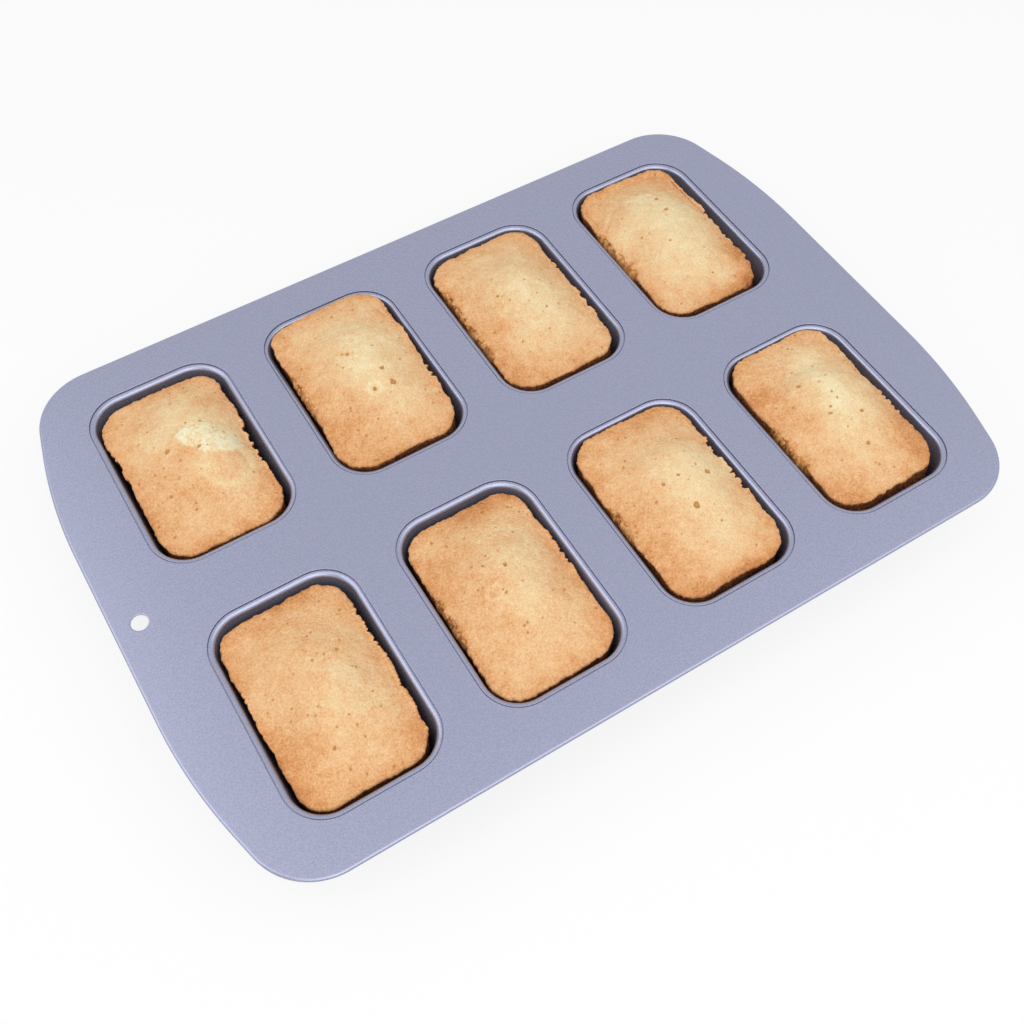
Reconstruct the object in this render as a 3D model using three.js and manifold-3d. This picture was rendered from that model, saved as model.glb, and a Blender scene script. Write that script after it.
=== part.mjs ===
// A mini loaf pan: one pressed steel sheet with eight drawn wells and a folded edge, and a baked loaf in each
// well. Millimetres, +Z up. X runs along the pan and Y across it. The origin lies under the middle of the
// pan, on the surface that the well floors stand on.
import * as THREE from "three";
import { mergeVertices } from "three/addons/utils/BufferGeometryUtils.js";
import Module from "manifold-3d";

const wasm = await Module();
wasm.setup();

// The sheet, and the grid of wells in it
const sheet = 0.8; // thickness of the steel
const columnPitch = 88; // along X
const rowPitch = 131; // along Y

// One well, from the fine step pressed round its mouth down to its floor
const mouthWidth = 68.8; // outline of the step, along X
const mouthLength = 102; // the same, along Y
const wellDepth = 38; // plate top to the inside of the floor
const stepDepth = 0.5;
const ledgeWidth = 0.8; // from the step to the shoulder
const shoulderBend = 1.4; // underside radius of the bend into the wall
const wallDraft = THREE.MathUtils.degToRad(8); // from upright
const floorRadius = 5; // inside of the bend into the floor
const floorCorner = 5.8; // corner radius of the flat floor, seen from above

// The plate round the wells
const endMargin = 29.1; // from the outer mouths to each end of the plate
const sideMargin = 20; // from the outer mouths to each long side
const endBreak = 73.7; // from the centre line to where an end turns back
const endSlant = THREE.MathUtils.degToRad(13.8); // how far it turns there
const endBlend = 240; // radius of that turn
const plateCorner = 30;

// The edge, folded down and back under the plate
const foldGap = 0.9; // between the plate and the folded leaf
const foldReturn = 3; // length of the leaf behind the bend

// The hole that the pan hangs by, in the middle of one end
const holeDiameter = 7.6;
const holeInset = 11.7; // from the end of the plate to the hole's centre

// The loaves, which shrink from the walls as they bake
const loafGap = 1.4; // beside the wall
const loafSeat = 0.3; // clearance over the floor
const crustRadius = 2.5; // round top edge of a loaf
const domeCurve = 1.5; // power of the dome's profile, where more is a narrower hump

// One loaf for each well: the rows and columns of wells are those of this list.
// drop: crust edge below the plate, above it if negative. rise: dome above the crust edge. lean: how
// much higher the far end is than the near one. peak: top of the dome, in X and Y from the well's middle.
const loaves = {
  front: [
    { drop: 2.4, rise: 9.5, lean: 0.5, peak: [3, 1] },
    { drop: 2.4, rise: 10, lean: 0.5, peak: [3, 5] },
    { drop: -0.6, rise: 9.5, lean: 2, peak: [6, 6] },
    { drop: -0.8, rise: 9.5, lean: 2.5, peak: [3, 4] },
  ],
  back: [
    { drop: 2, rise: 9.5, lean: 0.5, peak: [8, 8] },
    { drop: -2, rise: 9, lean: 3, peak: [4, 4] },
    { drop: 0.2, rise: 9.5, lean: 1.5, peak: [2, 5] },
    { drop: 0, rise: 10, lean: 2.5, peak: [-1, 4] },
  ],
};

// Facets
const chordError = 0.35; // largest distance between an outline's arcs and their chords
const shoulderFacets = 2;
const floorFacets = 3; // in the bend into the floor
const foldFacets = 4; // round the folded edge
const crustFacets = 3;
const crustStep = 22; // longest facet along a loaf's sides
const domeRings = 4;
const holeFacets = 20;
const cutterLength = 4 * sheet; // of the tool that cuts the hole
const sameNormal = 1e-6; // normals this close bound a straight stretch

// Sizes that follow
const rowNames = Object.keys(loaves);
const rows = rowNames.length;
const columns = loaves.front.length;
const plateTop = wellDepth + sheet;
const halfLength = ((columns - 1) * columnPitch + mouthWidth) / 2 + endMargin;
const halfWidth = ((rows - 1) * rowPitch + mouthLength) / 2 + sideMargin;
const foldRadius = sheet + foldGap / 2;
const foldHeight = 2 * foldRadius;
const shoulderRadius = shoulderBend + sheet;
const quarter = Math.PI / 2;

const steelFinish = new THREE.MeshStandardMaterial({ color: 0x9fa2bd, roughness: 0.45, metalness: 0.6 });
const crustFinish = new THREE.MeshStandardMaterial({ color: 0xdca768, roughness: 0.85, metalness: 0 });

// A closed outline through the corners, each rounded to its radius, as points with their outward normals.
// The corners run anticlockwise. A radius is limited to what half of each neighbouring side has room for.
function roundedOutline(corners) {
  const outline = [];
  corners.forEach(({ at, radius }, i) => {
    const before = corners.at(i - 1).at;
    const after = corners[(i + 1) % corners.length].at;
    const arriving = at.clone().sub(before);
    const leaving = after.clone().sub(at);
    const room = Math.min(arriving.length(), leaving.length()) / 2;
    const turn = Math.acos(arriving.normalize().dot(leaving.normalize()));
    const bend = Math.min(radius, room / Math.tan(turn / 2));
    const start = at.clone().addScaledVector(arriving, -bend * Math.tan(turn / 2));
    const outward = new THREE.Vector2(arriving.y, -arriving.x);
    const centre = start.addScaledVector(outward, -bend);
    const facets = Math.ceil(turn / (2 * Math.acos(1 - Math.min(chordError / bend, 1))));
    for (let k = 0; k <= facets; k++) {
      const normal = outward.clone().rotateAround(new THREE.Vector2(), (turn * k) / facets);
      outline.push({ point: centre.clone().addScaledVector(normal, bend), normal });
    }
  });
  return outline;
}

// The outline with its straight stretches cut into facets no longer than the step.
function withSteps(outline, step) {
  return outline.flatMap(({ point, normal }, i) => {
    const next = outline[(i + 1) % outline.length];
    const straight = normal.distanceTo(next.normal) < sameNormal;
    const count = straight ? Math.ceil(point.distanceTo(next.point) / step) : 1;
    const points = Array.from({ length: count }, (_, k) => point.clone().lerp(next.point, k / count));
    return points.map((stepPoint) => ({ point: stepPoint, normal }));
  });
}

// The outline moved inwards by the inset, at one height.
function ring(outline, inset, height) {
  return outline.map(({ point, normal }) => {
    const moved = point.clone().addScaledVector(normal, -inset);
    return new THREE.Vector3(moved.x, moved.y, height);
  });
}

// A closed surface over rings of equal count, from the top one down, with a fan over each end ring.
function skin(rings) {
  const count = rings[0].length;
  const middle = (points) => points.reduce((sum, p) => sum.add(p), new THREE.Vector3()).divideScalar(count);
  const points = [...rings.flat(), middle(rings[0]), middle(rings.at(-1))];
  const topMiddle = points.length - 2;
  const bottomMiddle = points.length - 1;
  const lastRing = (rings.length - 1) * count;
  const triangles = [];
  for (let k = 0; k < count; k++) {
    const next = (k + 1) % count;
    triangles.push(topMiddle, k, next);
    triangles.push(bottomMiddle, lastRing + next, lastRing + k);
    for (let upper = 0; upper < lastRing; upper += count) {
      const lower = upper + count;
      triangles.push(upper + k, lower + k, upper + next);
      triangles.push(upper + next, lower + k, lower + next);
    }
  }
  return new THREE.BufferGeometry().setFromPoints(points).setIndex(triangles);
}

// Points of an arc in a section, as [inset, depth]. Angle 0 is straight up and a quarter turn is outwards.
function arc([inset, depth], radius, from, to, facets) {
  return Array.from({ length: facets + 1 }, (_, k) => {
    const angle = from + ((to - from) * k) / facets;
    return [inset - radius * Math.sin(angle), depth - radius * Math.cos(angle)];
  });
}

// The straight wall of a well: where it leaves the shoulder, and how far in it lies at a depth.
const shoulderCentre = [ledgeWidth, stepDepth + shoulderRadius];
const wallTop = [
  shoulderCentre[0] + shoulderRadius * Math.cos(wallDraft),
  shoulderCentre[1] - shoulderRadius * Math.sin(wallDraft),
];
const wallInset = (depth) => wallTop[0] + (depth - wallTop[1]) * Math.tan(wallDraft);

// The centre of a bend that runs from the wall, or a line beside it, into a level floor.
function floorBendCentre(floorDepth, besideWall) {
  const depth = floorDepth - floorRadius;
  const touching = depth + floorRadius * Math.sin(wallDraft);
  return [wallInset(touching) + besideWall + floorRadius * Math.cos(wallDraft), depth];
}

// Section of a well's inside face, or of the face that lies behind it by the given thickness. It starts half
// a sheet above the plate's own face and goes down the upright step.
function wellSection(behind) {
  const lead = sheet / 2;
  return [
    [-behind, behind - lead],
    [-behind, behind + stepDepth],
    ...arc(shoulderCentre, shoulderRadius - behind, 0, wallDraft - quarter, shoulderFacets),
    ...arc(floorBendCentre(wellDepth, 0), floorRadius + behind, quarter + wallDraft, Math.PI, floorFacets),
  ];
}

// Section of the plate and its folded edge: over the top, round the fold, along the leaf and back inside it.
function plateSection() {
  const foldCentre = [foldRadius, foldRadius];
  const leafEnd = foldRadius + foldReturn;
  return [
    ...arc(foldCentre, foldRadius, 0, Math.PI, foldFacets),
    [leafEnd, foldHeight],
    [leafEnd, foldHeight - sheet],
    ...arc(foldCentre, foldRadius - sheet, Math.PI, 0, foldFacets),
  ];
}

const ringsOf = (outline, section) => section.map(([inset, depth]) => ring(outline, inset, plateTop - depth));

const corner = (x, y, radius) => ({ at: new THREE.Vector2(x, y), radius });

function rectangle(width, length, radius) {
  const signs = [[1, -1], [1, 1], [-1, 1], [-1, -1]];
  return roundedOutline(signs.map(([x, y]) => corner((x * width) / 2, (y * length) / 2, radius)));
}

// The plate has straight long sides. Each end is flat in the middle and turns back to large round corners.
function plateOutline() {
  const cornerX = halfLength - (halfWidth - endBreak) * Math.tan(endSlant);
  const rightEnd = [
    corner(cornerX, -halfWidth, plateCorner),
    corner(halfLength, -endBreak, endBlend),
    corner(halfLength, endBreak, endBlend),
    corner(cornerX, halfWidth, plateCorner),
  ];
  const leftEnd = rightEnd.map(({ at, radius }) => corner(-at.x, -at.y, radius));
  return roundedOutline([...rightEnd, ...leftEnd]);
}

function solidOf(geometry) {
  const shared = geometry.clone();
  shared.deleteAttribute("normal");
  shared.deleteAttribute("uv");
  const { attributes, index } = mergeVertices(shared);
  const vertProperties = attributes.position.array;
  const triVerts = new Uint32Array(index.array);
  return new wasm.Manifold(new wasm.Mesh({ numProp: 3, vertProperties, triVerts }));
}

function geometryOf(solid) {
  const { vertProperties, triVerts } = solid.getMesh();
  const geometry = new THREE.BufferGeometry();
  geometry.setAttribute("position", new THREE.BufferAttribute(vertProperties, 3));
  return geometry.setIndex(new THREE.BufferAttribute(triVerts, 1));
}

const mouthCorner = floorCorner + floorBendCentre(wellDepth, 0)[0];
const mouthOutline = rectangle(mouthWidth, mouthLength, mouthCorner);
const wellPlaces = [];
for (let row = 0; row < rows; row++) {
  for (let column = 0; column < columns; column++) {
    const x = (column - (columns - 1) / 2) * columnPitch;
    const y = (row - (rows - 1) / 2) * rowPitch;
    wellPlaces.push({ row, column, x, y });
  }
}

// The pan is one sheet: the plate, joined with a solid cup under each mouth, then hollowed to the sheet's
// thickness.
function makePan() {
  const cup = skin(ringsOf(mouthOutline, wellSection(sheet)));
  const hollow = skin(ringsOf(mouthOutline, wellSection(0)));
  let pan = solidOf(skin(ringsOf(plateOutline(), plateSection())));
  for (const { x, y } of wellPlaces) {
    pan = pan.add(solidOf(cup.clone().translate(x, y, 0)));
  }
  for (const { x, y } of wellPlaces) {
    pan = pan.subtract(solidOf(hollow.clone().translate(x, y, 0)));
  }
  const hole = new THREE.CylinderGeometry(holeDiameter / 2, holeDiameter / 2, cutterLength, holeFacets);
  hole.rotateX(Math.PI / 2).translate(holeInset - halfLength, 0, plateTop);
  return new THREE.Mesh(geometryOf(pan.subtract(solidOf(hole))), steelFinish);
}

// Height of a dome over its crust edge, as a share of its rise: a smooth hump in X times one in Y, each of
// which falls to nothing at the edges, halfX and halfY from the middle.
function domeShare(x, y, [peakX, peakY], halfX, halfY) {
  const hump = (at, peak, half) => {
    const reach = (at > peak ? half : -half) - peak;
    return Math.max(0, 1 - ((at - peak) / reach) ** 2) ** domeCurve;
  };
  return hump(x, peakX, halfX) * hump(y, peakY, halfY);
}

// A loaf fills its well to the crust edge with the well's own draft, and rises to an off-centre dome.
function makeLoaf({ drop, rise, lean, peak }) {
  const wallEnd = drop + crustRadius * (1 + Math.sin(wallDraft));
  const crustInset = wallInset(wallEnd) + loafGap + crustRadius * Math.cos(wallDraft);
  const floorBend = floorBendCentre(wellDepth - loafSeat, loafGap);
  const side = ringsOf(withSteps(mouthOutline, crustStep), [
    ...arc([crustInset, drop + crustRadius], crustRadius, 0, quarter + wallDraft, crustFacets),
    ...arc(floorBend, floorRadius, quarter + wallDraft, Math.PI, floorFacets),
  ]);
  const crust = side.slice(0, crustFacets + 1);
  const halfX = mouthWidth / 2 - crustInset;
  const halfY = mouthLength / 2 - crustInset;
  const domeRing = (share) =>
    crust[0].map((edge) => {
      const x = THREE.MathUtils.lerp(peak[0], edge.x, share);
      const y = THREE.MathUtils.lerp(peak[1], edge.y, share);
      return new THREE.Vector3(x, y, edge.z + rise * domeShare(x, y, peak, halfX, halfY));
    });
  const dome = Array.from({ length: domeRings }, (_, k) => domeRing((k + 1) / (domeRings + 1)));
  for (const point of [...dome, ...crust].flat()) {
    point.z += (lean * point.y) / mouthLength;
  }
  return new THREE.Mesh(skin([...dome, ...side]), crustFinish.clone());
}

const miniLoafPan = new THREE.Group();
const pan = makePan();
pan.name = "pan";
miniLoafPan.add(pan);

for (const { row, column, x, y } of wellPlaces) {
  const loaf = makeLoaf(loaves[rowNames[row]][column]);
  loaf.name = `loaf_${rowNames[row]}_${column + 1}`;
  loaf.position.set(x, y, 0);
  miniLoafPan.add(loaf);
}

export default miniLoafPan;
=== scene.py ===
from itertools import product

import bmesh
import bpy
import numpy as np
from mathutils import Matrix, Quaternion, Vector
from mathutils.geometry import delaunay_2d_cdt


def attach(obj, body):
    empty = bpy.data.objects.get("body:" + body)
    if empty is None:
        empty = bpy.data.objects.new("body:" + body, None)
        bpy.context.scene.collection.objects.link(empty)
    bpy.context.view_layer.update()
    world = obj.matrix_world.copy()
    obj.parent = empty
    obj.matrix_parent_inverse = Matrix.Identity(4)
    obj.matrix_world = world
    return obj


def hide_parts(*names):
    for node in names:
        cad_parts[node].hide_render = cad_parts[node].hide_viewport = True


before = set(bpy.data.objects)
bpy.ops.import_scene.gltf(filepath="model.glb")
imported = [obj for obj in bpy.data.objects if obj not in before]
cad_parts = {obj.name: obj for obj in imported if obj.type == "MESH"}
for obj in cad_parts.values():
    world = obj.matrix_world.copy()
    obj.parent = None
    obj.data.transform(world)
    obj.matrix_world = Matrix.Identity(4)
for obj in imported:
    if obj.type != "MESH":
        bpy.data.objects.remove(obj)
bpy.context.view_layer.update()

# Lengths are in millimetres up to where a mesh is made, which turns them into the frame's metres.
MM = 0.001
QUARTER = np.pi / 2

# The sheet, and the grid of wells in it
SHEET = 0.8
COLUMN_PITCH = 88
ROW_PITCH = 131

# One well, from the fine step pressed round its mouth down to its floor
MOUTH = np.array([68.8, 102])
MOUTH_CORNER = 18.3
WELL_DEPTH = 38
STEP_DEPTH = 0.5
STEP_EDGE = 0.2
SLOT_DEPTH = 1.1  # of the sharp crease at the step's foot, below the plate
SLOT_SIDE = 0.08
SLOT_WIDTH = 0.45
SLOT_BEND = 0.05
LEDGE_WIDTH = 0.7
SHOULDER_RADIUS = 2.2
WALL_DRAFT = np.radians(8)
FLOOR_RADIUS = 5

# The plate round the wells, and its folded edge
PLATE_HALF = np.array([195.5, 136.5])
END_BREAK = 73.7
END_SLANT = np.radians(13.8)
END_BLEND = 240
PLATE_CORNER = 30
FOLD_RADIUS = 1
FOLD_RETURN = 3
PLATE_TOP = WELL_DEPTH + SHEET

# The hole that the pan hangs by
HOLE_RADIUS = 3.8
HOLE_AT = np.array([-183.8, 0])
HOLE_EDGE = 0.15

# The loaves, which shrink from the walls as they bake
LOAF_GAP = 1.4
LOAF_SEAT = 0.3
CRUST_RADIUS = 1.8
DOME_CURVE = 1.5

# Fineness of the meshes
ARC_FACETS = 14
SIDE_FACETS = 5
BEND_FACETS = 8
FLAT_MARGIN = 0.5  # a flat strip beside each bend keeps the plate's shading level
HOLE_FACETS = 48
SAME_POINT = 0.005  # points closer than this become one
TINY = 1e-9  # keeps a division away from zero
CRUMB_SIZE = 0.36
CRUST_FACETS = 12
WALL_FACETS = 16

# One entry for each loaf, places in millimetres from the middle of its well.
# drop: crust edge below the plate, above it if negative.
# rise: dome above the crust edge.
# lean: how much higher the far end is than the near one.
# peak: top of the dome.
# trim: how much more each side shrank from the wall, in the order right, far, left, near.
# tones: patches that baked lighter, or browner if negative, as X, Y, reach in X and in Y, and strength. One
# patch on the fourth front loaf is a painted highlight.
# swells: bumps of the crust, or craters if negative, as X, Y, reach in X and in Y, and height.
# torn: stretches of a side that broke into teeth, as side (1 right, -1 left), span along Y, and depth.
# crumbs: stretches of the left side where the crust rubbed off, from and to along Y.
# rings: thin pale rings, as X, Y, radius, width and strength.
# holes: burst bubbles, as X, Y and radius.
LOAVES = {
    "front": [
        dict(drop=2.4, rise=9.5, lean=0.5, peak=(3, 1), trim=(1.5, 1.2, 0, 0.3),
             tones=[(7, -10, 14, 13, 0.12), (-20, -22, 17, 13, -0.15), (10, 44, 20, 22, -0.1),
                    (22, 14, 8, 6, 0.12), (24, -36, 6, 8, -0.13)],
             swells=[(-6, -12, 9, 7, 0.5), (12, 24, 12, 8, -0.6)],
             torn=[(1, -27, 26, 1.7), (-1, -16, 17, 0.9)], crumbs=[],
             holes=[(1, 10, 0.7), (4, 12, 0.5), (12, 10, 0.8), (-8, 9, 0.5), (-6, -9, 0.6), (-15, -3, 0.6),
                    (3, -18, 0.5), (16, -20, 0.5), (-8, -26, 0.9), (15, 41, 0.5)]),
        dict(drop=2.4, rise=10, lean=0.5, peak=(3, 5), trim=(0.3, 1.1, 0.2, 0.4),
             tones=[(6, -2, 14, 20, 0.13), (-14, 10, 16, 22, -0.13), (16, 41, 20, 6, -0.17),
                    (24, -36, 10, 16, -0.09), (17, 14, 6, 16, 0.09)],
             swells=[(-8, -1.5, 4, 3, -0.6), (2, 24, 18, 7, -0.7)],
             torn=[(1, -8, 20, 1)], crumbs=[(-13, 13)], rings=[(-8, -1.5, 3.2, 1, 0.12)],
             holes=[(2, 7, 1), (-6, 12, 0.7), (-12, 10, 0.5), (-13, 4, 0.6), (-4, -4, 0.8), (14, -12, 0.5),
                    (-5, -20, 0.6), (-17, 37, 0.7), (-10, 40, 0.6), (10, 39, 0.9), (27, -26, 0.6)]),
        dict(drop=-0.6, rise=9.5, lean=2, peak=(6, 6), trim=(1.2, 0.2, 0.2, 1),
             tones=[(8, 0, 16, 20, 0.18), (-19, -10, 10, 20, -0.06), (26, 4, 10, 12, 0.13),
                    (19, 41, 18, 9, -0.1), (4, -28, 11, 7, 0.12), (-22, -33, 9, 9, -0.1),
                    (-1, -45, 22, 4, -0.2)],
             swells=[(0, 27, 20, 7, -1.2)],
             torn=[(1, -12, 19, 2.6)], crumbs=[(-8, 10)],
             holes=[(0.7, -10.9, 1.4), (15, 1, 1.2), (-6, 5, 0.9), (2, 5, 0.8), (-13, 0, 0.6),
                    (-12, -18, 0.5), (14, -38, 0.6), (-14, 24, 0.5), (9, 46.5, 1.8)]),
        dict(drop=-0.8, rise=9.5, lean=2.5, peak=(3, 4), trim=(3.2, -0.6, 0.3, 2.2),
             # the tone at X 20, Y 3 is a painted highlight: a small whitish glossy patch by the right edge
             tones=[(5, 5, 14, 20, 0.2), (22, -34, 12, 22, -0.18), (20, 3, 5, 4, 0.2),
                    (4, 28, 8, 14, 0.15), (-21, 19, 8, 24, -0.1), (-22, -37, 10, 8, -0.13),
                    (-2, -10, 7, 24, 0.09)],
             swells=[(0, 26, 22, 6, -1.3), (0, -23, 3, 3, -0.6)],
             torn=[(1, -24, 0, 1)], crumbs=[(-18, 7)],
             holes=[(-9, 17, 0.9), (5, 15, 0.7), (1, 6, 0.7), (1, 2, 0.6), (-4, 0, 0.8), (-6, -3, 0.7),
                    (7, -9, 0.9), (13.5, 46, 0.8), (0, -23, 0.9)]),
    ],
    "back": [
        dict(drop=2, rise=9.5, lean=0.5, peak=(8, 8), trim=(1.4, 1.7, 0.5, 0.5),
             tones=[(9, 12, 14, 8, 0.12), (3.5, -8, 6, 6, 0.03), (12, -14, 12, 12, 0.14),
                    (12, -13, 7, 7, -0.14), (-10, 14, 9, 7, 0.1), (-12, -22, 20, 16, -0.09),
                    (22, 2, 4, 10, 0.18), (3, 27, 8, 10, 0.16), (27, -33, 9, 9, -0.12)],
             swells=[(12, -13, 8, 8, 0.9), (3, -4, 4, 3, -0.5)],
             torn=[(1, -35, 11, 1.2), (-1, 0, 25, 0.8)], crumbs=[], rings=[(12, -14, 10.5, 1.4, 0.08)],
             holes=[(7.5, 10, 0.5), (5, 14, 0.6), (11, 11.5, 0.7), (14.5, 5.5, 0.5), (18, 2, 0.6),
                    (5, -2, 0.9), (-8, 5, 1.1), (-16, -15, 0.8), (-9, -27, 0.7)]),
        dict(drop=-2, rise=9, lean=3, peak=(4, 4), trim=(1.6, 0.3, 0, 0.8),
             tones=[(6, 0, 15, 22, 0.21), (-17, -25, 13, 24, -0.1), (22, 6, 8, 11, 0.12),
                    (-1, 30, 13, 7, 0.1), (6, -24, 10, 6, 0.1)],
             swells=[(0, 30, 20, 7, -1.2), (-1, -14, 3, 3, -0.7)],
             torn=[(1, 9, 19, 1.9), (1, -20, -6, 1.5)], crumbs=[(-9, 17)], rings=[(-1, -14, 3, 1, 0.12)],
             holes=[(-3, 9, 0.9), (7, -6, 1.1), (8, -15, 1.4), (-1, -14, 1), (-14, -8, 0.5),
                    (-15, -16, 0.6), (2, -29, 0.5)]),
        dict(drop=0.2, rise=9.5, lean=1.5, peak=(2, 5), trim=(1.6, 1.3, 0, 1.5),
             tones=[(6, -3, 17, 22, 0.18), (-18, -9, 3, 3, -0.12), (-14, -39, 18, 7, -0.07),
                    (-18, 0, 6, 26, -0.05), (6, -22, 14, 10, 0.08), (4, 28, 12, 14, 0.06)],
             swells=[(4, 28, 20, 7, -0.7)],
             torn=[(1, 9, 19, 1.6), (1, -24, -2, 1.2)], crumbs=[(-20, 28)],
             holes=[(-11, 6, 0.7), (5, 7, 0.5), (6, -3, 0.6), (0, -5, 0.5), (6, -12, 0.7), (-8, 17, 0.5)]),
        dict(drop=0, rise=10, lean=2.5, peak=(-1, 4), trim=(3.6, 0.3, 0.2, 1.3),
             tones=[(0, 4, 20, 28, 0.22), (-23, 8, 6, 6, 0.15), (24, -28, 10, 15, -0.3),
                    (18, -44, 18, 5, -0.25), (10, -34, 18, 8, 0.11), (-14, 4, 10, 18, -0.1),
                    (17, 34, 5, 10, -0.12)],
             swells=[(-3, -35, 6, 3, 0.5)],
             torn=[(1, -34, 16, 1.8)], crumbs=[(-12, 20)],
             holes=[(5, 20, 1.1), (4, 10, 1.1), (20, 41, 0.7)]),
    ],
}

# The one flake of crust that lifted on a dome: its loaf, middle, half length and half width, turn, height,
# how much lighter it is, and where its cover ends, as shares of the half sizes
FLAKE_LOAF = "loaf_back_1"
FLAKE_AT = np.array([10, 1.8])
FLAKE_HALF = np.array([15, 8.3])
FLAKE_TURN = np.radians(-40)
FLAKE_HEIGHT = 1.6
FLAKE_PALENESS = 0.28
FLAKE_GRAINS = [(2.6, 0.16), (1.1, 0.18)]
FLAKE_NEAR_EDGE = np.array([0.9, 1.03])
FLAKE_FAR_EDGE = np.array([0.55, 1.15])
FLAKE_FAR_FROM = (-0.5, 0.9)
FLAKE_FAR_HEIGHT = 0.3

# The one loaf whose top is a plateau with a lower, browner brim beyond it: middle, reach, height of the step
PLATEAU_LOAF = "loaf_back_4"
PLATEAU_AT = np.array([-6, -14])
PLATEAU_HALF = np.array([30, 45])
PLATEAU_HEIGHT = 1.3
PLATEAU_PALENESS = 0.03
PLATEAU_EDGE = (0.9, 1.1)
PLATEAU_FAR_FROM = (0, 14)

# Roughness of the crust, as cell sizes and depths of noise in millimetres
SKIN = [(16, 0.5), (6, 0.3), (2.4, 0.18), (1.2, 0.12), (0.8, 0.08)]
CRUMB_LUMPS = [(2.4, 0.5), (1, 0.7)]
EDGE_WANDER = [(14, 0.5), (5, 0.3), (1.8, 0.25), (0.9, 0.2)]
TOOTH_SHAPE = [(11, 0.7), (4, 0.5), (1.6, 0.65), (0.8, 0.3)]
NOTCH_FROM = (-0.3, 0.6)
CORNER_TRIM = 0.8  # how much more every near right corner shrank
RUB_DEPTH = 1.4
RUB_SHAPE = [(4, 0.5), (1.3, 0.7)]
RUB_REACH = 4
CRUMB_BAKE = 0.68
CRUMB_SPECKS = [(1.6, 0.25), (0.7, 0.3)]
CRUMB_OCHRE = 0.15  # crumbs are as ochre as the inside of a hole this deep
CRUMB_FROM = 0.8
STRETCH_FADE = 3  # ends of a torn or rubbed stretch
STRETCH_FACING = (0.6, 0.95)
TORN_SQUARE = 0.3  # how much a torn edge fills its round, as a share of the crust's radius
BUBBLE_DEPTH = 0.9
BUBBLE_WOBBLE = [(0.9, 0.3)]
RAGGED = [(3, 0.06), (1.2, 0.04)]
PORE_COUNT = 50
PORE_RADII = (0.3, 0.65)

# Where the top starts to follow the crust edge, and where swells start to end, as shares of the way out
EDGE_FROM = 0.85
SWELLS_TO = 0.92

# Crust radii down a side over which its edge's wander fades
WANDER_FADE = np.array([2, 8])

# How brown the crust is, from 0 for pale to 1 for nearly black
TAN_BAKE = 0.42
EDGE_BAKE = 0.15
EDGE_REACH = 5
# The side's value is partly the browner baked side and partly painted shade under the crust edge and in the
# gap to the wall; under a torn edge the painted shade starts right at the edge.
SIDE_BAKE_AND_SHADE = 0.9
DARK_FROM = 0.4  # crust radii below the edge
DARK_FROM_TORN = 0.05
DARK_OVER = 0.8
MOTTLE = [(12, 0.05), (6, 0.05), (3, 0.05), (1.5, 0.04), (0.8, 0.02)]

# Noise tables that each loaf draws from, counted from the loaf's own first one
LOAF_SEEDS = 100
TOOTH_SEED = 5
RUB_SEED = 9
MOTTLE_SEED = 20
SKIN_SEED = 30
LUMP_SEED = 40
SPECK_SEED = 50
BUBBLE_SEED = 60
RAGGED_SEED = 61
FLAKE_SEED = 63

# Noise lattice: random numbers picked by the cell's place
NOISE_TABLE = 65521
NOISE_STRIDES = np.array([73856093, 19349663, 83492791])

# Colours, as seen in plain white light
STEEL_GREY = (147, 151, 174)
FLAKE_GREY = (157, 160, 184)
CRUST_COLOURS = [
    (0.00, (246, 236, 200)),
    (0.20, (242, 218, 170)),
    (0.45, (234, 185, 134)),
    (0.62, (218, 154, 98)),
    (0.80, (186, 118, 66)),
    (0.90, (118, 66, 34)),
    (1.00, (52, 26, 15)),
]
PORE_OCHRE = (190, 132, 60)

# Photograph's view: a plain lens, in metres
CAMERA_AT = Vector((-0.1768, -0.2764, 0.4969))
CAMERA_AIM = Vector((-0.0234, -0.0340, 0.0388))
CAMERA_ROLL = np.radians(-0.94)
CAMERA_LENS = 43.25

# Studio: white surroundings, a white floor and three soft boxes, each with its place, aim, size and watts
WORLD_LIGHT = 0.41
FLOOR_WHITE = 0.9
FLOOR_LIFT = 0.8
FLOOR_REACH = 4000
LAMPS = {
    "overhead_front": ((0.3, -0.72, 1.1), (0.3, -0.72, 0), (1.5, 1.46), 9.6),
    "overhead_left": ((-1.45, 0.5, 1.1), (-1.45, 0.5, 0), (2.3, 1.2), 12.1),
    "front_left": ((-0.6, -1.0, 1.0), (0, 0, 0), (1.0, 1.0), 4.5),
}


def smooth_step(value, low, high):
    """Rises smoothly from 0 at low to 1 at high: three times the square of the share of the way between
    them, less twice its cube."""
    t = np.clip((value - low) / (high - low), 0, 1)
    return t * t * (3 - 2 * t)


def value_noise(points, size, seed):
    """Smooth noise from -1 to 1: a random number at each corner of a grid of cubes of the given size,
    blended between the corners along each axis by the same smooth rise as smooth_step."""
    table = np.random.default_rng(seed).uniform(-1, 1, NOISE_TABLE)
    cell = np.floor(points / size).astype(np.int64)
    t = points / size - cell
    t = t * t * (3 - 2 * t)
    total = np.zeros(points.shape[:-1])
    for corner in product((0, 1), repeat=3):
        place = (cell + corner) @ NOISE_STRIDES
        weight = np.prod(np.where(corner, t, 1 - t), axis=-1)
        total += weight * table[place % NOISE_TABLE]
    return total


# Outlines, sections and the surfaces between them


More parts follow.
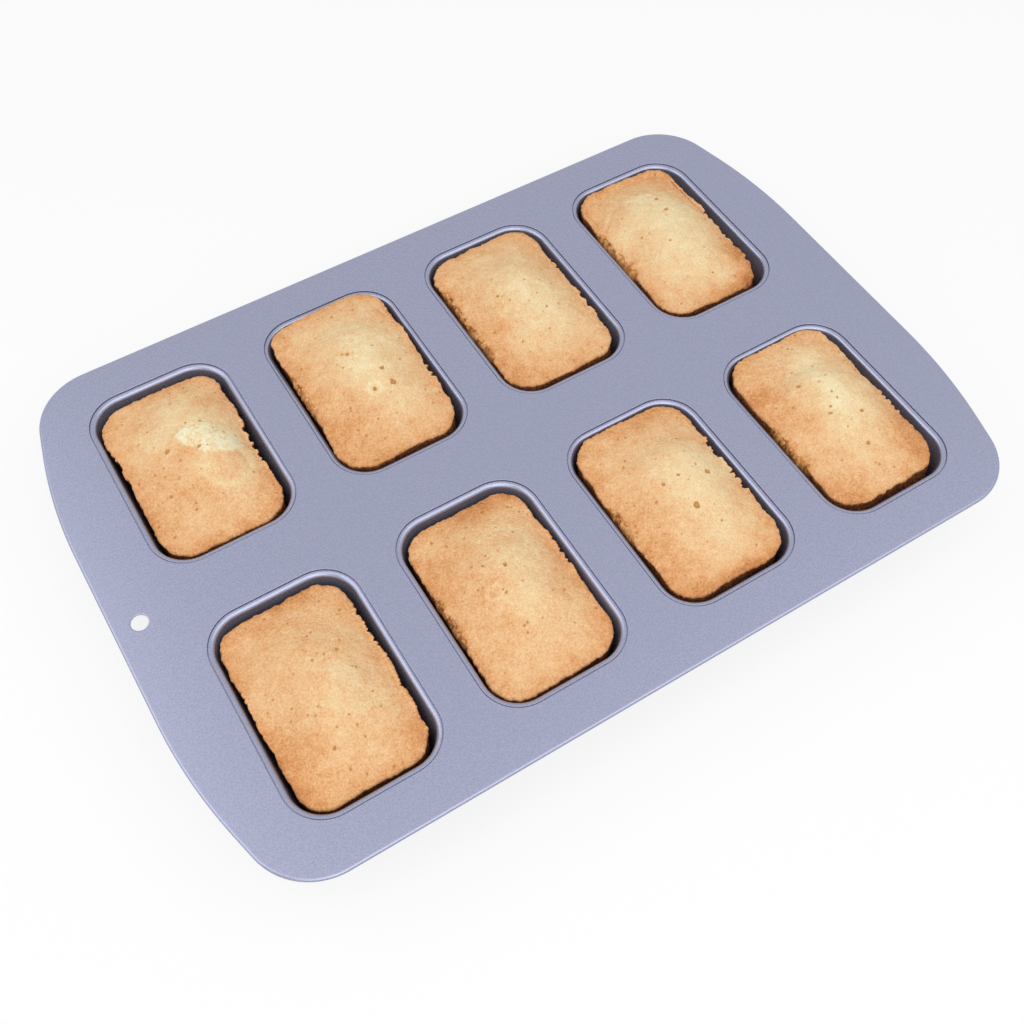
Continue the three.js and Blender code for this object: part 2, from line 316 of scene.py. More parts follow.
def rounded_outline(corners, radii):
    """Closed outline through the corners, anticlockwise: at each corner an arc of its radius that touches
    both sides, and straight stretches between the arcs. Returns the points and their outward normals."""
    points, normals = [], []
    for at, before, after, radius in zip(corners, np.roll(corners, 1, 0), np.roll(corners, -1, 0), radii):
        arriving = (at - before) / np.linalg.norm(at - before)
        leaving = (after - at) / np.linalg.norm(after - at)
        turn = np.arccos(arriving @ leaving)
        outward = np.array([arriving[1], -arriving[0]])
        centre = at - arriving * radius * np.tan(turn / 2) - outward * radius
        angle = np.arctan2(outward[1], outward[0]) + np.linspace(0, turn, ARC_FACETS + 1)
        normal = np.column_stack([np.cos(angle), np.sin(angle)])
        points.append(centre + radius * normal)
        normals.append(normal)
    share = np.linspace(0, 1, SIDE_FACETS + 2)[1:-1, None]
    stretches = []
    for arc, normal, following in zip(points, normals, points[1:] + points[:1]):
        straight = arc[-1] + share * (following[0] - arc[-1])
        facing = np.repeat(normal[-1:], len(share), 0)
        stretches.append((np.vstack([arc, straight]), np.vstack([normal, facing])))
    return np.vstack([s[0] for s in stretches]), np.vstack([s[1] for s in stretches])


def rectangle_outline(size, radius):
    """Rectangle about the origin with round corners."""
    signs = np.array([[1, -1], [1, 1], [-1, 1], [-1, -1]])
    return rounded_outline(signs * size / 2, [radius] * 4)


def plate_outline():
    """Straight long sides; each end is flat in the middle and turns back to large round corners."""
    corner_x = PLATE_HALF[0] - (PLATE_HALF[1] - END_BREAK) * np.tan(END_SLANT)
    right = np.array([
        [corner_x, -PLATE_HALF[1]],
        [PLATE_HALF[0], -END_BREAK],
        [PLATE_HALF[0], END_BREAK],
        [corner_x, PLATE_HALF[1]],
    ])
    radii = [PLATE_CORNER, END_BLEND, END_BLEND, PLATE_CORNER]
    return rounded_outline(np.vstack([right, -right]), radii * 2)


def arc(centre, radius, start, end, facets):
    """Section points (inset, depth) on an arc. Angle 0 is straight up and a quarter turn is outwards."""
    angle = np.linspace(start, end, facets + 1)
    return np.column_stack([centre[0] - radius * np.sin(angle), centre[1] - radius * np.cos(angle)])


def bent_line(corners, radii):
    """Section line through the corners (inset, depth), with each inner corner rounded to its radius."""
    corners = np.array(corners, float)
    pieces = [corners[:1]]
    for before, at, after, radius in zip(corners, corners[1:], corners[2:], radii):
        arriving = (at - before) / np.linalg.norm(at - before)
        leaving = (after - at) / np.linalg.norm(after - at)
        turn = np.arccos(np.clip(arriving @ leaving, -1, 1))
        reach = radius * np.tan(turn / 2)
        middle = leaving - arriving
        centre = at + middle / np.linalg.norm(middle) * radius / np.cos(turn / 2)
        start = at - arriving * reach - centre
        share = np.linspace(0, turn, BEND_FACETS + 1)[:, None]
        pieces.append(centre + start * np.cos(share) + arriving * radius * np.sin(share))
    return np.vstack([*pieces, corners[-1:]])


def wall_inset(depth):
    """How far in from the mouth's outline the straight wall of a well lies at a depth."""
    touching = STEP_DEPTH + SHOULDER_RADIUS * (1 - np.sin(WALL_DRAFT))
    at_touching = LEDGE_WIDTH + SHOULDER_RADIUS * np.cos(WALL_DRAFT)
    return at_touching + (depth - touching) * np.tan(WALL_DRAFT)


def well_section(behind):
    """Section of a well's inside face, or of the face behind it by that thickness: flat plate, fine step
    down to a ledge with a sharp crease at its foot, shoulder, drafted wall, and the bend into the level
    floor."""
    ledge_depth = STEP_DEPTH + behind
    floor_depth = WELL_DEPTH + behind
    beside = behind / np.cos(WALL_DRAFT)
    floor_inset = wall_inset(floor_depth) - beside
    corners = [
        (-behind - 2 * FLAT_MARGIN, behind),
        (-behind, behind),
        (SLOT_SIDE - behind, SLOT_DEPTH + behind),
        (SLOT_WIDTH - SLOT_SIDE - behind, SLOT_DEPTH + behind),
        (SLOT_WIDTH - behind, ledge_depth),
        (wall_inset(ledge_depth) - beside, ledge_depth),
        (floor_inset, floor_depth),
        (floor_inset + FLOOR_RADIUS, floor_depth),
    ]
    bends = [STEP_EDGE, *[SLOT_BEND] * 3, SHOULDER_RADIUS - behind, FLOOR_RADIUS + behind]
    section = bent_line(corners, bends)
    return np.insert(section, 1, [(-behind - FLAT_MARGIN, behind)], axis=0)


def fold_section():
    """Section of the plate's edge: flat top, round the fold, along the leaf and back inside it."""
    centre = (FOLD_RADIUS, FOLD_RADIUS)
    leaf_end = FOLD_RADIUS + FOLD_RETURN
    flat = FOLD_RADIUS + np.array([2 * FLAT_MARGIN, FLAT_MARGIN])
    leaf = [(leaf_end, 2 * FOLD_RADIUS), (leaf_end, 2 * FOLD_RADIUS - SHEET)]
    return np.vstack([
        np.column_stack([flat, np.zeros(2)]),
        arc(centre, FOLD_RADIUS, 0, np.pi, 2 * BEND_FACETS),
        leaf,
        arc(centre, FOLD_RADIUS - SHEET, np.pi, 0, BEND_FACETS),
        np.column_stack([flat[::-1], np.full(2, SHEET)]),
    ])


def hole_section():
    """Section of the hanging hole: flat plate, a small bevelled edge, the cut wall and the same below."""
    top = [(-2 * FLAT_MARGIN, 0), (-FLAT_MARGIN, 0), (-HOLE_EDGE, 0), (0, HOLE_EDGE)]
    return np.array(top + [(inset, SHEET - depth) for inset, depth in top[::-1]])


def circle_outline(centre, radius):
    """Points and outward normals of a circle."""
    angle = np.linspace(0, 2 * np.pi, HOLE_FACETS, endpoint=False)
    normal = np.column_stack([np.cos(angle), np.sin(angle)])
    return centre + radius * normal, normal


def carried_round(outline, section, centre=(0, 0)):
    """A section carried round an outline: each section point moves the whole outline inwards by its
    inset, at its depth under the plate's top."""
    points, normals = outline
    flat = points + centre - section[:, 0, None, None] * normals
    height = np.broadcast_to((PLATE_TOP - section[:, 1])[:, None, None], flat.shape[:2] + (1,))
    return np.concatenate([flat, height], axis=2)


def ring_quads(index):
    """Quads between neighbouring rows of a grid of vertex numbers whose rows are closed rings."""
    beside = np.roll(index, -1, axis=1)
    return np.stack([index[:-1], index[1:], beside[1:], beside[:-1]], axis=-1).reshape(-1, 4)


def flat_fill(outlines, depth):
    """Triangles of the flat sheet between its outer outline and the outlines of its holes. A hole is
    convex, so the triangles to leave out are those with all their corners on one hole's outline."""
    flat = np.vstack(outlines)
    outline_of = np.repeat(np.arange(len(outlines)), [len(o) for o in outlines])
    edges = []
    for number in range(len(outlines)):
        on_outline = np.flatnonzero(outline_of == number)
        edges.extend(np.column_stack([on_outline, np.roll(on_outline, -1)]).tolist())
    triangles_inside = 1
    filled = delaunay_2d_cdt([Vector(p) for p in flat], edges, [], triangles_inside, SAME_POINT / 10)
    triangles = np.array(filled[2])
    first = outline_of[triangles[:, 0]]
    in_hole = (outline_of[triangles] == first[:, None]).all(axis=1) & (first > 0)
    return np.column_stack([flat, np.full(len(flat), PLATE_TOP - depth)]), triangles[~in_hole].tolist()


def put_mesh(name, vertices, faces, merge=False):
    """A smooth-shaded object from vertices in millimetres and lists of vertex numbers."""
    mesh = bpy.data.meshes.new(name)
    mesh.from_pydata(vertices * MM, [], faces)
    if merge:
        work = bmesh.new()
        work.from_mesh(mesh)
        bmesh.ops.remove_doubles(work, verts=work.verts, dist=SAME_POINT * MM)
        work.to_mesh(mesh)
        work.free()
    mesh.shade_smooth()
    made = bpy.data.objects.new(name, mesh)
    bpy.context.scene.collection.objects.link(made)
    return made


# The pan


def well_centres():
    """Row name, column number and middle of each well."""
    for row, (row_name, loaves) in enumerate(LOAVES.items()):
        for column in range(len(loaves)):
            across = (column - (len(loaves) - 1) / 2) * COLUMN_PITCH
            along = (row - (len(LOAVES) - 1) / 2) * ROW_PITCH
            yield row_name, column, np.array([across, along])


def make_pan():
    """One pressed sheet with two faces: plate, folded edge, hanging hole and wells, each a section
    carried round its outline, with the flat sheet filled between them."""
    mouth = rectangle_outline(MOUTH, MOUTH_CORNER)
    edge = carried_round(plate_outline(), fold_section())
    hole = carried_round(circle_outline(HOLE_AT, HOLE_RADIUS), hole_section())
    inside = [carried_round(mouth, well_section(0), centre) for _, _, centre in well_centres()]
    outside = [carried_round(mouth, well_section(SHEET), centre) for _, _, centre in well_centres()]

    vertices, faces, count = [], [], 0

    def add(points, polygons, turned=False):
        """Adds a piece of surface, turned over if it faces the other way."""
        nonlocal count
        vertices.append(points)
        faces.extend([[count + i for i in (reversed(p) if turned else p)] for p in polygons])
        count += len(points)

    def add_rings(surface, turned, capped):
        """Adds a carried section, closed at its last ring if it is capped."""
        index = np.arange(surface.shape[0] * surface.shape[1]).reshape(surface.shape[:2])
        polygons = ring_quads(index).tolist()
        if capped:
            polygons.append(index[-1][::-1].tolist())
        add(surface.reshape(-1, 3), polygons, turned)

    add_rings(edge, turned=False, capped=False)
    add_rings(hole, turned=True, capped=False)
    for surface in inside:
        add_rings(surface, turned=True, capped=True)
    for surface in outside:
        add_rings(surface, turned=False, capped=True)
    add(*flat_fill([edge[0, :, :2], hole[0, :, :2]] + [s[0, :, :2] for s in inside], 0))
    add(*flat_fill([edge[-1, :, :2], hole[-1, :, :2]] + [s[0, :, :2] for s in outside], SHEET), turned=True)
    return put_mesh("coated_pan", np.vstack(vertices), faces, merge=True)


# The loaves


def layered_noise(points, octaves, seed):
    """Value noises of several cell sizes added up. Each octave is a cell size and a depth."""
    return sum(depth * value_noise(points, size, seed + k) for k, (size, depth) in enumerate(octaves))


def dome_share(x, y, peak, half):
    """Height of a dome over its crust edge as a share of its rise: a hump in X times one in Y. Each hump
    is one less the square of the share of the way from peak to edge, to the power DOME_CURVE."""
    share = 1
    for at, top, side in ((x, peak[0], half[0]), (y, peak[1], half[1])):
        t = (at - top) / np.where(at > top, side - top, side + top)
        share = share * np.clip(1 - t * t, 0, 1) ** DOME_CURVE
    return share


def bowls(x, y, holes, wobble):
    """Burst bubbles, each an uneven bowl BUBBLE_DEPTH radii deep in the middle. Its depth falls as the
    fourth power of the distance over the radius, and the wobble added to that makes it uneven."""
    depth = np.zeros(x.shape)
    for hole_x, hole_y, radius in holes:
        t = np.hypot(x - hole_x, y - hole_y) / radius + wobble
        depth = np.maximum(depth, BUBBLE_DEPTH * radius * np.clip(1 - np.maximum(t, 0)**4, 0, 1))
    return depth


def lifted_flake(x, y, wobble):
    """An oval flake as its cover and its share of full height. The cover fades softly at the far edge and
    ends sharply at the near one. The height falls from 1 at the near edge to FLAKE_FAR_HEIGHT."""
    along = (x - FLAKE_AT[0]) * np.cos(FLAKE_TURN) + (y - FLAKE_AT[1]) * np.sin(FLAKE_TURN)
    across = (y - FLAKE_AT[1]) * np.cos(FLAKE_TURN) - (x - FLAKE_AT[0]) * np.sin(FLAKE_TURN)
    distance = np.hypot(along / FLAKE_HALF[0], across / FLAKE_HALF[1]) + wobble
    far = smooth_step(across / FLAKE_HALF[1], *FLAKE_FAR_FROM)
    ends = FLAKE_NEAR_EDGE + far[..., None] * (FLAKE_FAR_EDGE - FLAKE_NEAR_EDGE)
    cover = 1 - smooth_step(distance, ends[..., 0], ends[..., 1])
    return cover, cover * (1 - (1 - FLAKE_FAR_HEIGHT) * far)


def beyond_plateau(x, y, wobble):
    """0 on the oval plateau and 1 on the brim beyond its far edge, with a smooth step between them."""
    across = (x - PLATEAU_AT[0]) / PLATEAU_HALF[0]
    along = (y - PLATEAU_AT[1]) / PLATEAU_HALF[1]
    return smooth_step(np.hypot(across, along) + wobble, *PLATEAU_EDGE) * smooth_step(y, *PLATEAU_FAR_FROM)


def patches(x, y, places):
    """Sum of soft patches, each a bell curve of its strength that falls to 1/e at the patch's reach."""
    total = np.zeros(x.shape)
    for at_x, at_y, reach_x, reach_y, strength in places:
        total += strength * np.exp(-(((x - at_x) / reach_x) ** 2) - ((y - at_y) / reach_y) ** 2)
    return total


def halos(x, y, places):
    """Sum of thin rings, each a bell curve of its strength that falls to 1/e at the width from the ring."""
    total = np.zeros(x.shape)
    for at_x, at_y, radius, width, strength in places:
        total += strength * np.exp(-(((np.hypot(x - at_x, y - at_y) - radius) / width) ** 2))
    return total


def on_side(outline, outward, side, low, high):
    """1 on the outline's right (side 1) or left (side -1) from low to high along Y, fading to 0 beyond."""
    starts = smooth_step(outline[..., 1], low - STRETCH_FADE, low + STRETCH_FADE)
    ends = smooth_step(outline[..., 1], high - STRETCH_FADE, high + STRETCH_FADE)
    return starts * (1 - ends) * smooth_step(side * outward[..., 0], *STRETCH_FACING)


def border_of(grid):
    """Outer ring of a grid of values, anticlockwise from its first corner."""
    return np.concatenate([grid[0, :-1], grid[:-1, -1], grid[-1, :0:-1], grid[:0:-1, 0]])


def nested_outlines(half, corner):
    """Grid over the square from -1 to 1 whose square rings become nested copies of a rounded rectangle.
    Each border point moves to the corner's radius from the nearest point of an inner frame. Returns which
    copy each point lies on, from 0 to 1, the outline's point beside it and the outward normal there."""
    cells = np.round(2 * half / CRUMB_SIZE).astype(int)
    s, t = np.meshgrid(np.linspace(-1, 1, cells[0] + 1), np.linspace(-1, 1, cells[1] + 1))
    nested = np.maximum(np.abs(s), np.abs(t))
    on_border = np.dstack([s, t]) / np.maximum(nested, TINY)[..., None] * half
    inner = np.clip(on_border, -(half - corner), half - corner)
    outward = on_border - inner
    outward /= np.maximum(np.linalg.norm(outward, axis=2), TINY)[..., None]
    return nested, inner + corner * outward, outward


def edge_shift(outline, outward, trim, torn, rubbed, seed):
    """How far the crust edge lies outside its plain outline: slow wander and small frays, less what each
    side shrank, the notches where it is torn and the slope where it is rubbed off."""
    along = np.concatenate([outline, np.zeros(outline.shape[:-1] + (1,))], axis=-1)
    wander = layered_noise(along, EDGE_WANDER, seed)
    notch = smooth_step(layered_noise(along, TOOTH_SHAPE, seed + TOOTH_SEED), *NOTCH_FROM)
    slope = np.clip(1 + layered_noise(along, RUB_SHAPE, seed + RUB_SEED), 0, None)
    shrunk = np.sum(np.where(outward > 0, trim[:2], trim[2:]) * outward**2, axis=-1)
    near_right = 2 * np.clip(outward[..., 0], 0, 1) * np.clip(-outward[..., 1], 0, 1)
    return wander - shrunk - CORNER_TRIM * near_right - torn * notch - rubbed * RUB_DEPTH * slope


def loaf_section(drop, crust_inset):
    """Section of a loaf's side: round the crust edge, down the drafted wall and round to the floor.
    Returns its points and the angles of their normals from straight up."""
    crust_turn = QUARTER + WALL_DRAFT
    floor_centre = np.array([0, WELL_DEPTH - LOAF_SEAT - FLOOR_RADIUS])
    touching = floor_centre[1] + FLOOR_RADIUS * np.sin(WALL_DRAFT)
    floor_centre[0] = wall_inset(touching) + LOAF_GAP + FLOOR_RADIUS * np.cos(WALL_DRAFT)
    edge_arc = arc((crust_inset, drop + CRUST_RADIUS), CRUST_RADIUS, 0, crust_turn, CRUST_FACETS)
    floor_arc = arc(floor_centre, FLOOR_RADIUS, crust_turn, np.pi, BEND_FACETS)
    wall = np.linspace(edge_arc[-1], floor_arc[0], WALL_FACETS + 1)[1:-1]
    angle = np.concatenate([
        np.linspace(0, crust_turn, CRUST_FACETS + 1),
        np.full(WALL_FACETS - 1, crust_turn),
        np.linspace(crust_turn, np.pi, BEND_FACETS + 1),
    ])
    return np.vstack([edge_arc, wall, floor_arc]), angle


def inside_edge(flat, half, corner):
    """How far each point lies inside a rounded rectangle: the corner's radius less the distance from its
    inner frame, and more within that frame."""
    from_frame = np.abs(flat) - (half - corner)
    beyond = np.linalg.norm(np.maximum(from_frame, 0), axis=2)
    return np.maximum(corner - beyond - np.minimum(np.max(from_frame, axis=2), 0), 0)


def make_loaf(
    name, centre, seed, drop, rise, lean, peak, trim, tones, swells, torn, crumbs, holes, rings=()
):
    """A loaf in its well. Its top is a grid drawn as nested copies of the crust's outline, at the height
    of the dome, its swells, skin and burst bubbles. Its side goes on from the grid's border: over the
    crust edge, down the drafted wall and under to the floor."""
    wall_end = drop + CRUST_RADIUS * (1 + np.sin(WALL_DRAFT))
    crust_inset = wall_inset(wall_end) + LOAF_GAP + CRUST_RADIUS * np.cos(WALL_DRAFT)
    half = MOUTH / 2 - crust_inset
    corner = MOUTH_CORNER - crust_inset

    # Top
    nested, outline, outward = nested_outlines(half, corner)
    torn_depth = sum(depth * on_side(outline, outward, side, low, high) for side, low, high, depth in torn)
    broken = np.minimum(torn_depth, 1)
    rubbed = sum((on_side(outline, outward, -1, low, high) for low, high in crumbs), np.zeros(nested.shape))
    shift = edge_shift(outline, outward, trim, torn_depth, rubbed, seed)
    flat = nested[..., None] * outline + (smooth_step(nested, EDGE_FROM, 1) * shift)[..., None] * outward
    x, y = flat[..., 0], flat[..., 1]
    level = np.dstack([x, y, np.zeros(x.shape)])
    wobble = layered_noise(level, BUBBLE_WOBBLE, seed + BUBBLE_SEED)
    ragged = layered_noise(level, RAGGED, seed + RAGGED_SEED)
    extra = patches(x, y, swells)
    paler = patches(x, y, tones) + halos(x, y, rings)
    if name.endswith(FLAKE_LOAF):
        cover, lift = lifted_flake(x, y, ragged)
        extra += FLAKE_HEIGHT * lift
        paler += cover * (FLAKE_PALENESS + layered_noise(level, FLAKE_GRAINS, seed + FLAKE_SEED))
    if name.endswith(PLATEAU_LOAF):
        brim = beyond_plateau(x, y, ragged)
        extra -= PLATEAU_HEIGHT * brim
        paler += PLATEAU_PALENESS * (1 - 2 * brim)
    inland = 1 - smooth_step(nested, SWELLS_TO, 1)
    height = PLATE_TOP - drop + lean * y / MOUTH[1] + rise * dome_share(x, y, peak, half) + inland * extra
    smooth_top = np.dstack([x, y, height])
    random = np.random.default_rng(seed)
    pores = random.uniform((*-half, PORE_RADII[0]), (*half, PORE_RADII[1]), (PORE_COUNT, 3))
    pit = bowls(x, y, np.vstack([np.array(holes), pores]), wobble)
    top = smooth_top.copy()
    top[..., 2] += layered_noise(smooth_top, SKIN, seed + SKIN_SEED) - pit

    # Side. A torn edge is nearly square.
    section, angle = loaf_section(drop, crust_inset)
    angle = angle[:, None]
    ring = border_of(flat)
    normal = border_of(outward)
    rubbed = border_of(rubbed)[None]
    depth = section[:, 1][:, None]
    below = depth - drop
    fade = 1 - smooth_step(below, *WANDER_FADE * CRUST_RADIUS)
    round_share = np.clip(angle / (QUARTER + WALL_DRAFT), 0, 1)
    squared = TORN_SQUARE * CRUST_RADIUS * border_of(broken) * np.sin(round_share * np.pi)
    out_by = crust_inset - section[:, 0][:, None] + squared
    settle = (fade - 1) * border_of(shift)
    settle += (border_of(shift) * -rubbed - settle * rubbed) * smooth_step(below, 0, RUB_REACH)
    flat_side = ring[None] + (out_by + settle)[..., None] * normal[None]
    side_height = PLATE_TOP - depth + fade * lean * ring[None, :, 1] / MOUTH[1] + squared
    smooth_side = np.dstack([flat_side, np.broadcast_to(side_height, flat_side.shape[:2])])
    side_normal = np.dstack([
        np.sin(angle) * normal[None, :, 0],
        np.sin(angle) * normal[None, :, 1],
        np.broadcast_to(np.cos(angle), flat_side.shape[:2]),
    ])
    crumbly = rubbed * smooth_step(below, 0, CRUMB_FROM) * (1 - smooth_step(below, RUB_REACH, 2 * RUB_REACH))
    lumps = layered_noise(smooth_side, SKIN, seed + SKIN_SEED)
    lumps += crumbly * layered_noise(smooth_side, CRUMB_LUMPS, seed + LUMP_SEED)
    side = smooth_side + lumps[..., None] * side_normal

    # How brown the crust is: pale on the dome, tan round it, brown at the edge, and dark down the side,
    # which is partly browner side crust and partly painted shade under the crust edge and in the gap to the
    # wall
    mottle = layered_noise(smooth_top, MOTTLE, seed + MOTTLE_SEED)
    browner = EDGE_BAKE * np.exp(-inside_edge(flat, half, corner) / EDGE_REACH)
    # the tones include one painted highlight patch on the fourth front loaf
    top_bake_and_highlight = TAN_BAKE - paler + browner + mottle
    edge_bake = border_of(top_bake_and_highlight)[None]
    crumb_bake = CRUMB_BAKE + layered_noise(smooth_side, CRUMB_SPECKS, seed + SPECK_SEED)
    # painted shade below the crust edge, mixed with the browner side crust; it starts at once under a torn
    # edge
    starts = (DARK_FROM + (DARK_FROM_TORN - DARK_FROM) * border_of(broken)[None]) * CRUST_RADIUS
    darkening = smooth_step(below, starts, starts + DARK_OVER * CRUST_RADIUS)
    side_bake_and_shade = edge_bake + (SIDE_BAKE_AND_SHADE - edge_bake) * darkening
    side_bake_and_shade += crumbly * (crumb_bake - side_bake_and_shade)

    number = np.arange(x.size).reshape(x.shape)
    rows, count = side.shape[:2]
    side_number = x.size + np.arange((rows - 1) * count).reshape(rows - 1, count)
    index = np.vstack([border_of(number)[None], side_number])
    top_quads = np.stack([number[:-1, :-1], number[:-1, 1:], number[1:, 1:], number[1:, :-1]], axis=-1)
    faces = top_quads.reshape(-1, 4).tolist() + ring_quads(index).tolist() + [index[-1][::-1].tolist()]
    vertices = np.vstack([top.reshape(-1, 3), side[1:].reshape(-1, 3)])
    loaf = put_mesh(name, vertices + np.append(centre, 0), faces)
    # the first attribute carries how brown the crust is, together with the painted shade down the sides and
    # one painted highlight patch
    for attribute, on_top, on_flank in (
        ("bake_and_painted_light", top_bake_and_highlight, side_bake_and_shade),
        ("pore", pit, CRUMB_OCHRE * crumbly),
    ):
        values = np.concatenate([on_top.ravel(), on_flank[1:].ravel()]).astype(np.float32)
        loaf.data.attributes.new(attribute, "FLOAT", "POINT").data.foreach_set("value", values)
    return loaf


# Materials


def linear(colour):
    """A colour given as screen values from 0 to 255, as linear light with full cover."""
    share = np.array(colour) / 255
    light = np.where(share <= 0.04045, share / 12.92, ((share + 0.055) / 1.055) ** 2.4)
    return (*light, 1)


def node(tree, kind, values=None, **properties):
    """A shader node with its properties set and its sockets written, or linked to another socket."""
    made = tree.nodes.new(kind)
    for name, value in properties.items():
        setattr(made, name, value)
    for name, value in (values or {}).items():
        if isinstance(value, bpy.types.NodeSocket):
            tree.links.new(value, made.inputs[name])
        else:
            made.inputs[name].default_value = value
    return made


def new_material(name):
    """An empty material, its node tree and its output node."""
    material = bpy.data.materials.new(name)
    material.use_nodes = True
    material.node_tree.nodes.clear()
    return material, material.node_tree, material.node_tree.nodes.new("ShaderNodeOutputMaterial")


def coated_steel():
    """Satin coating with fine metal flakes: specks lighter and darker than the grey."""
    material, tree, output = new_material("coated_steel")
    place = node(tree, "ShaderNodeTexCoord").outputs["Object"]
    flakes = node(tree, "ShaderNodeTexNoise", {"Vector": place, "Scale": 1400, "Detail": 3})
    flake = flakes.outputs["Fac"]
    speck = node(tree, "ShaderNodeMapRange", {"Value": flake, "From Min": 0.3, "From Max": 0.7})
    colour = node(
        tree,
        "ShaderNodeMix",
        {"Factor": speck.outputs["Result"], 6: linear(STEEL_GREY), 7: linear(FLAKE_GREY)},
        data_type="RGBA",
    )
    rough = node(tree, "ShaderNodeMapRange", {"Value": flake, "To Min": 0.22, "To Max": 0.34})
    skin = node(tree, "ShaderNodeBump", {"Height": flake, "Strength": 0.08, "Distance": 0.0002})
    steel = node(
        tree,
        "ShaderNodeBsdfPrincipled",
        {
            "Base Color": colour.outputs[2],
            "Metallic": 0.65,
            "Roughness": rough.outputs["Result"],
            "Normal": skin.outputs["Normal"],
        },
    )
    tree.links.new(steel.outputs["BSDF"], output.inputs["Surface"])
    return material


def baked_crust():
    """Crust whose colour follows how brown each place is baked, with the painted shade down the sides and
    one painted highlight patch in it, with grain, and ochre inside pores and burst bubbles."""
    material, tree, output = new_material("baked_crust")
    place = node(tree, "ShaderNodeTexCoord").outputs["Object"]
    bake_and_painted_light = node(tree, "ShaderNodeAttribute", attribute_name="bake_and_painted_light").outputs["Fac"]
    pore = node(tree, "ShaderNodeAttribute", attribute_name="pore").outputs["Fac"]
    grain = node(tree, "ShaderNodeTexNoise", {"Vector": place, "Scale": 1100, "Detail": 3, "Roughness": 0.7})
    crumb = grain.outputs["Fac"]
    shift = node(
        tree,
        "ShaderNodeMapRange",
        {"Value": crumb, "From Min": 0.25, "From Max": 0.75, "To Min": -0.18, "To Max": 0.18},
    )
    grained = node(tree, "ShaderNodeMath", {0: bake_and_painted_light, 1: shift.outputs["Result"]}, operation="ADD")
    ramp = node(tree, "ShaderNodeValToRGB", {"Fac": grained.outputs["Value"]})
    stops = ramp.color_ramp.elements
    while len(stops) < len(CRUST_COLOURS):
        stops.new(0.5)
    for stop, (position, colour) in zip(stops, CRUST_COLOURS):
        stop.position = position
        stop.color = linear(colour)
    hollow = node(tree, "ShaderNodeMapRange", {"Value": pore, "From Max": 0.4, "To Max": 0.8})
    colour = node(
        tree,
        "ShaderNodeMix",
        {"Factor": hollow.outputs["Result"], 6: ramp.outputs["Color"], 7: linear(PORE_OCHRE)},
        data_type="RGBA",
    )
    skin = node(tree, "ShaderNodeBump", {"Height": crumb, "Strength": 0.6, "Distance": 0.0008})
    crust = node(
        tree,
        "ShaderNodeBsdfPrincipled",
        {
            "Base Color": colour.outputs[2],
            "Roughness": 0.75,
            "Specular IOR Level": 0.25,
            "Normal": skin.outputs["Normal"],
        },
    )
    tree.links.new(crust.outputs["BSDF"], output.inputs["Surface"])
    return material


def seen_directly(tree):
    """1 for what the camera sees, in a reflection or through glass too, and 0 for light on things."""
    path = node(tree, "ShaderNodeLightPath").outputs
    seen = path["Is Camera Ray"]
    for ray in ("Is Glossy Ray", "Is Transmission Ray"):
        seen = node(tree, "ShaderNodeMath", {0: seen, 1: path[ray]}, operation="MAXIMUM").outputs[0]
    return seen


def white_floor():
    """Matte white that keeps a soft shadow, lifted towards plain white where it is seen directly."""
    material, tree, output = new_material("white_floor")
    matte = node(tree, "ShaderNodeBsdfDiffuse", {"Color": (*[FLOOR_WHITE] * 3, 1)})
    white = node(tree, "ShaderNodeEmission", {"Color": (1, 1, 1, 1), "Strength": 1})
    lift = node(tree, "ShaderNodeMath", {0: seen_directly(tree), 1: FLOOR_LIFT}, operation="MULTIPLY")
    mixed = node(tree, "ShaderNodeMixShader", {0: lift.outputs[0], 1: matte.outputs[0], 2: white.outputs[0]})
    tree.links.new(mixed.outputs[0], output.inputs["Surface"])
    return material


# Studio


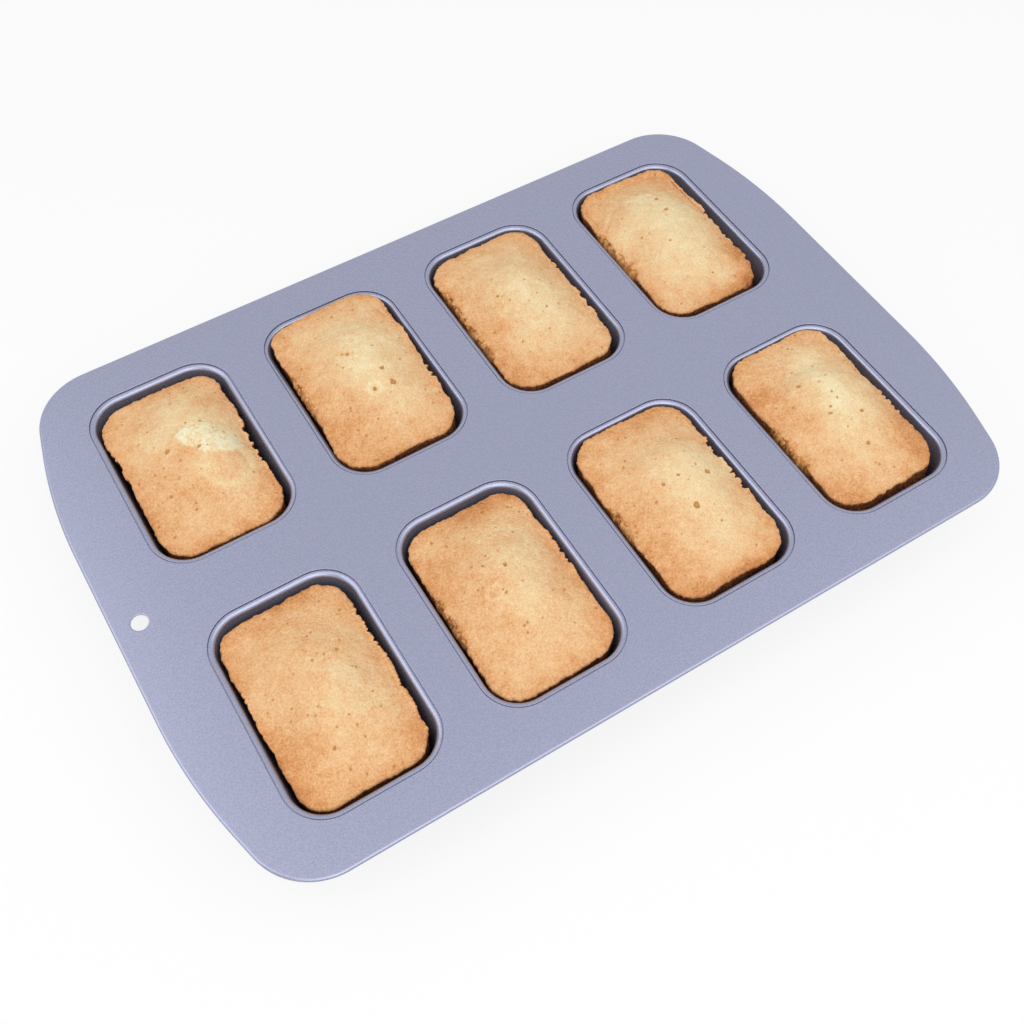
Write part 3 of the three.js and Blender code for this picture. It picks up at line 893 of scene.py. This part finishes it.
def make_world():
    """White surroundings that light the object a little less than they look."""
    world = bpy.data.worlds.new("studio")
    world.use_nodes = True
    tree = world.node_tree
    tree.nodes.clear()
    seen = seen_directly(tree)
    light = node(tree, "ShaderNodeMapRange", {"Value": seen, "To Min": WORLD_LIGHT, "To Max": 1})
    back = node(tree, "ShaderNodeBackground", {"Color": (1, 1, 1, 1), "Strength": light.outputs["Result"]})
    output = node(tree, "ShaderNodeOutputWorld")
    tree.links.new(back.outputs[0], output.inputs["Surface"])
    bpy.context.scene.world = world


def make_lamp(name, at, aim, size, power):
    """Rectangular soft box at a place, facing its aim."""
    light = bpy.data.lights.new(name, "AREA")
    light.shape = "RECTANGLE"
    light.size, light.size_y = size
    light.energy = power
    lamp = bpy.data.objects.new(name, light)
    lamp.location = at
    lamp.rotation_mode = "QUATERNION"
    lamp.rotation_quaternion = (Vector(aim) - Vector(at)).to_track_quat("-Z", "Y")
    bpy.context.scene.collection.objects.link(lamp)


def make_camera():
    """Plain lens at the photograph's place, turned to its aim and rolled a little."""
    lens = bpy.data.cameras.new("camera")
    lens.lens = CAMERA_LENS
    lens.clip_start = 0.01
    camera = bpy.data.objects.new("camera", lens)
    view = CAMERA_AIM - CAMERA_AT
    camera.location = CAMERA_AT
    camera.rotation_mode = "QUATERNION"
    roll = Quaternion(view.normalized(), CAMERA_ROLL)
    camera.rotation_quaternion = roll @ view.to_track_quat("-Z", "Y")
    bpy.context.scene.collection.objects.link(camera)
    bpy.context.scene.camera = camera


def make_floor():
    """Flat square under the pan."""
    corners = np.array([[-1, -1, 0], [1, -1, 0], [1, 1, 0], [-1, 1, 0]])
    floor = put_mesh("floor", FLOOR_REACH * corners, [[0, 1, 2, 3]])
    floor.data.materials.append(white_floor())


make_camera()
make_world()
make_floor()
for lamp_name, lamp in LAMPS.items():
    make_lamp(lamp_name, *lamp)

pan = make_pan()
pan.data.materials.append(coated_steel())
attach(pan, "pan")
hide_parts("pan")

crust_finish = baked_crust()
for loaf_number, (row_name, column, centre) in enumerate(well_centres()):
    node_name = f"loaf_{row_name}_{column + 1}"
    seed = LOAF_SEEDS * (loaf_number + 1)
    loaf = make_loaf("baked_" + node_name, centre, seed, **LOAVES[row_name][column])
    loaf.data.materials.append(crust_finish)
    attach(loaf, node_name)
    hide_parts(node_name)

bpy.context.scene.view_settings.view_transform = "Standard"
